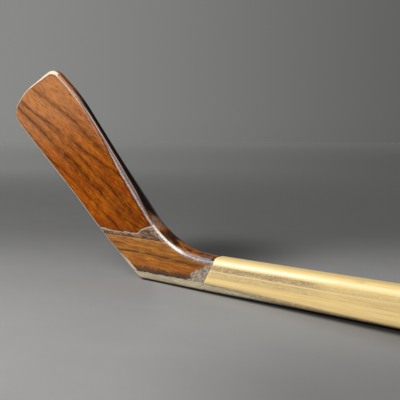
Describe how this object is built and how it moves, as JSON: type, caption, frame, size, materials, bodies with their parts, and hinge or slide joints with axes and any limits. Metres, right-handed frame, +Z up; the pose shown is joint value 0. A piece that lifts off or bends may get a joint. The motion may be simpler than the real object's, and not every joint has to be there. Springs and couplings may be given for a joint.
{
  "type": "ice hockey stick",
  "caption": "Laminated wooden ice hockey stick with a straight rectangular shaft, a veneered flat blade and a bridle-jointed heel with cheeks, fillers and dowels.",
  "frame": {"origin": "the heel: the point of the sole where the heel's rounded corner ends, in the stick's middle plane", "axes": "+X along the shaft to the butt, +Z up from the shaft's lower edge, -Y out of the front face that the picture shows; the blade rises towards -X and +Z"},
  "size_m": [1.5672, 0.022, 0.2136],
  "materials": {
    "shaft_core": "clear satin varnish over pale ash, long straight grain",
    "shaft_side": "clear glossy varnish over pale ash, with grey handling streaks along the middle",
    "bare_wood": "bare pale wood, greyed and worn where the varnish has gone",
    "cheek": "glossy varnish over golden-brown hardwood, grain along the shaft",
    "filler": "dark fibrous wood filler, dull, with a paler ragged rim",
    "fibre_patch": "grey reinforcing fibre set in resin, matt and ragged",
    "dowel": "plain birch dowel, not varnished",
    "blade_core": "pale wood, bare and worn along the bevelled border",
    "veneer": "glossy varnish over orange-brown hardwood with dark streaks along the blade",
    "edge_strip": "glossy dark red-brown stained strip"
  },
  "bodies": {
    "root": {"shaft_core": "shaft_core", "shaft_side_front_upper": "shaft_side", "shaft_side_front_lower": "shaft_side", "shaft_side_back_upper": "shaft_side", "shaft_side_back_lower": "shaft_side", "sole_strip": "bare_wood", "heel_cheek_front": "cheek", "heel_cheek_back": "cheek", "heel_wedge_front": "filler", "heel_wedge_back": "filler", "heel_patch_front": "fibre_patch", "heel_patch_back": "fibre_patch", "heel_dowels": "dowel", "blade_core": "blade_core", "blade_veneer_front": "veneer", "blade_veneer_back": "veneer", "top_edge_strip": "edge_strip"}
  },
  "joints": []
}
